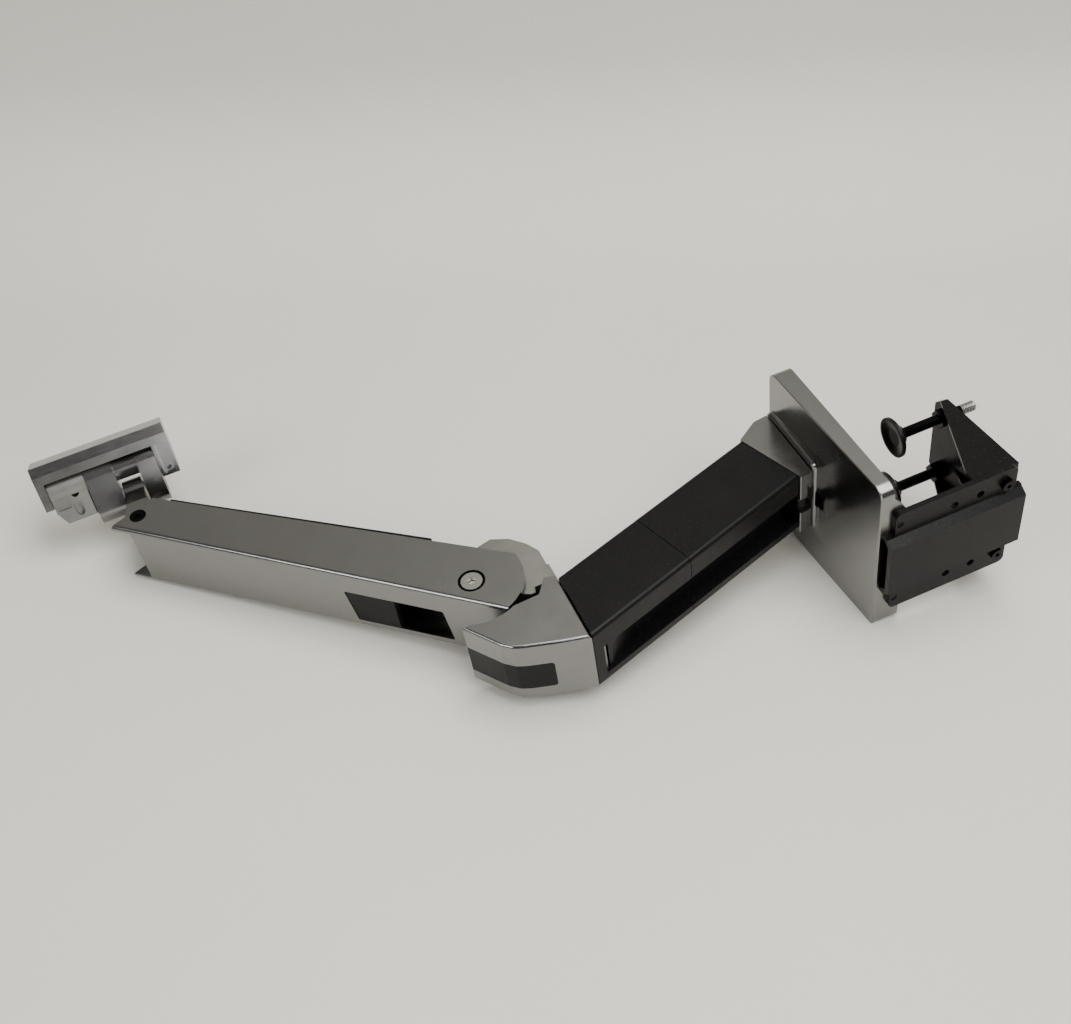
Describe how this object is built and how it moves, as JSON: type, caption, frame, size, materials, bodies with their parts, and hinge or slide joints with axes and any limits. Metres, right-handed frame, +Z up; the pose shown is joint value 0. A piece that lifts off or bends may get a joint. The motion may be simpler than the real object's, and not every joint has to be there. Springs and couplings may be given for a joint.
{
  "type": "monitor arm",
  "caption": "Desk-clamped counterbalanced monitor arm: square base with clamp, leaning covered riser, swivel elbow, sprung lifting arm and a panning yoke with a rail-shaped head.",
  "frame": {"origin": "where the base swivel axis meets the top of the desk", "axes": "+Z up along the base swivel axis, +X towards the desk edge and the clamp, the lifting arm reaches towards -X"},
  "size_m": [0.3724, 0.14, 0.6415],
  "materials": {
    "polished_casting": "polished",
    "satin_casting": "satin, as cast and tumbled",
    "black_powder_coat": "semi-gloss powder coat",
    "black_moulding": "fine matte texture",
    "zinc_steel": "zinc plated",
    "blackened_steel": "black oxide",
    "cast_frame": "as cast",
    "bearing_plastic": "smooth bearing plastic",
    "foot_rubber": "soft rubber sheet"
  },
  "bodies": {
    "base": {"base_plate": "polished_casting", "base_pad": "foot_rubber", "base_bush": "bearing_plastic", "clamp_bracket": "black_powder_coat", "bracket_screws": "blackened_steel", "clamp_jaw": "black_powder_coat", "jaw_screws": "blackened_steel", "clamp_nuts": "blackened_steel"},
    "clamp_left": {"clamp_screw_left": "blackened_steel", "clamp_pad_left": "black_powder_coat"},
    "clamp_right": {"clamp_screw_right": "blackened_steel", "clamp_pad_right": "black_powder_coat"},
    "riser": {"foot_casting": "polished_casting", "swivel_post": "zinc_steel", "post_washer": "bearing_plastic", "post_nut": "zinc_steel", "riser_spine": "cast_frame", "cover_lower": "black_moulding", "cover_upper": "black_moulding", "cable_trough": "black_moulding", "elbow_bush": "bearing_plastic"},
    "elbow": {"elbow_casting": "polished_casting", "elbow_band": "black_moulding", "elbow_post": "zinc_steel", "elbow_washer": "bearing_plastic", "elbow_nut": "zinc_steel", "hinge_lug": "satin_casting", "hinge_bushes": "bearing_plastic", "link_pin_rear": "zinc_steel"},
    "arm": {"arm_channel": "polished_casting", "arm_cover": "black_moulding", "window_insert": "black_moulding", "hinge_bolts": "zinc_steel", "hinge_washers": "blackened_steel", "tip_screws": "blackened_steel", "spring": "zinc_steel", "spring_rod": "zinc_steel", "spring_seats": "blackened_steel"},
    "lower_link": {"link_bar": "cast_frame"},
    "front": {"front_link": "polished_casting", "front_bushes": "bearing_plastic", "link_pin_front": "zinc_steel", "pan_bush": "bearing_plastic"},
    "yoke": {"yoke": "polished_casting", "yoke_block": "satin_casting", "pan_pin": "zinc_steel", "pan_washers": "bearing_plastic"},
    "head": {"head_bar": "polished_casting", "head_shaft": "zinc_steel"}
  },
  "joints": [
    {"name": "base_swivel", "type": "hinge", "parent": "base", "child": "riser", "pos_m": [0, 0, 0.03], "axis": [0, 0, 1], "range_deg": [-180, 180]},
    {"name": "elbow_swivel", "type": "hinge", "parent": "riser", "child": "elbow", "pos_m": [0.062, 0, 0.223], "axis": [0, 0, 1], "range_deg": [-180, 180]},
    {"name": "arm_lift", "type": "hinge", "parent": "elbow", "child": "arm", "pos_m": [0.009, 0, 0.276], "axis": [0, 1, 0], "range_deg": [-63, 5]},
    {"name": "link_pivot", "type": "hinge", "parent": "elbow", "child": "lower_link", "pos_m": [0.005, 0, 0.2645], "axis": [0, 1, 0], "range_deg": [-63.5, 5.5]},
    {"name": "front_pivot", "type": "hinge", "parent": "arm", "child": "front", "pos_m": [-0.16899, 0, 0.47368], "axis": [0, 1, 0], "range_deg": [-5.5, 63.5]},
    {"name": "head_pan", "type": "hinge", "parent": "front", "child": "yoke", "pos_m": [-0.222, 0, 0.472], "axis": [0, 0, 1], "range_deg": [-40, 160]},
    {"name": "head_hinge", "type": "hinge", "parent": "yoke", "child": "head", "pos_m": [-0.23431, 0.02222, 0.49], "axis": [0, 0, 1], "range_deg": [-45, 45]},
    {"name": "clamp_left_travel", "type": "slide", "parent": "base", "child": "clamp_left", "axis": [0, 0, 1], "range_m": [-0.024, 0.026]},
    {"name": "clamp_right_travel", "type": "slide", "parent": "base", "child": "clamp_right", "axis": [0, 0, 1], "range_m": [-0.024, 0.026]}
  ],
  "couplings": [
    {"joint": "link_pivot", "follows": "arm_lift", "ratio": 1},
    {"joint": "front_pivot", "follows": "arm_lift", "ratio": -1}
  ]
}
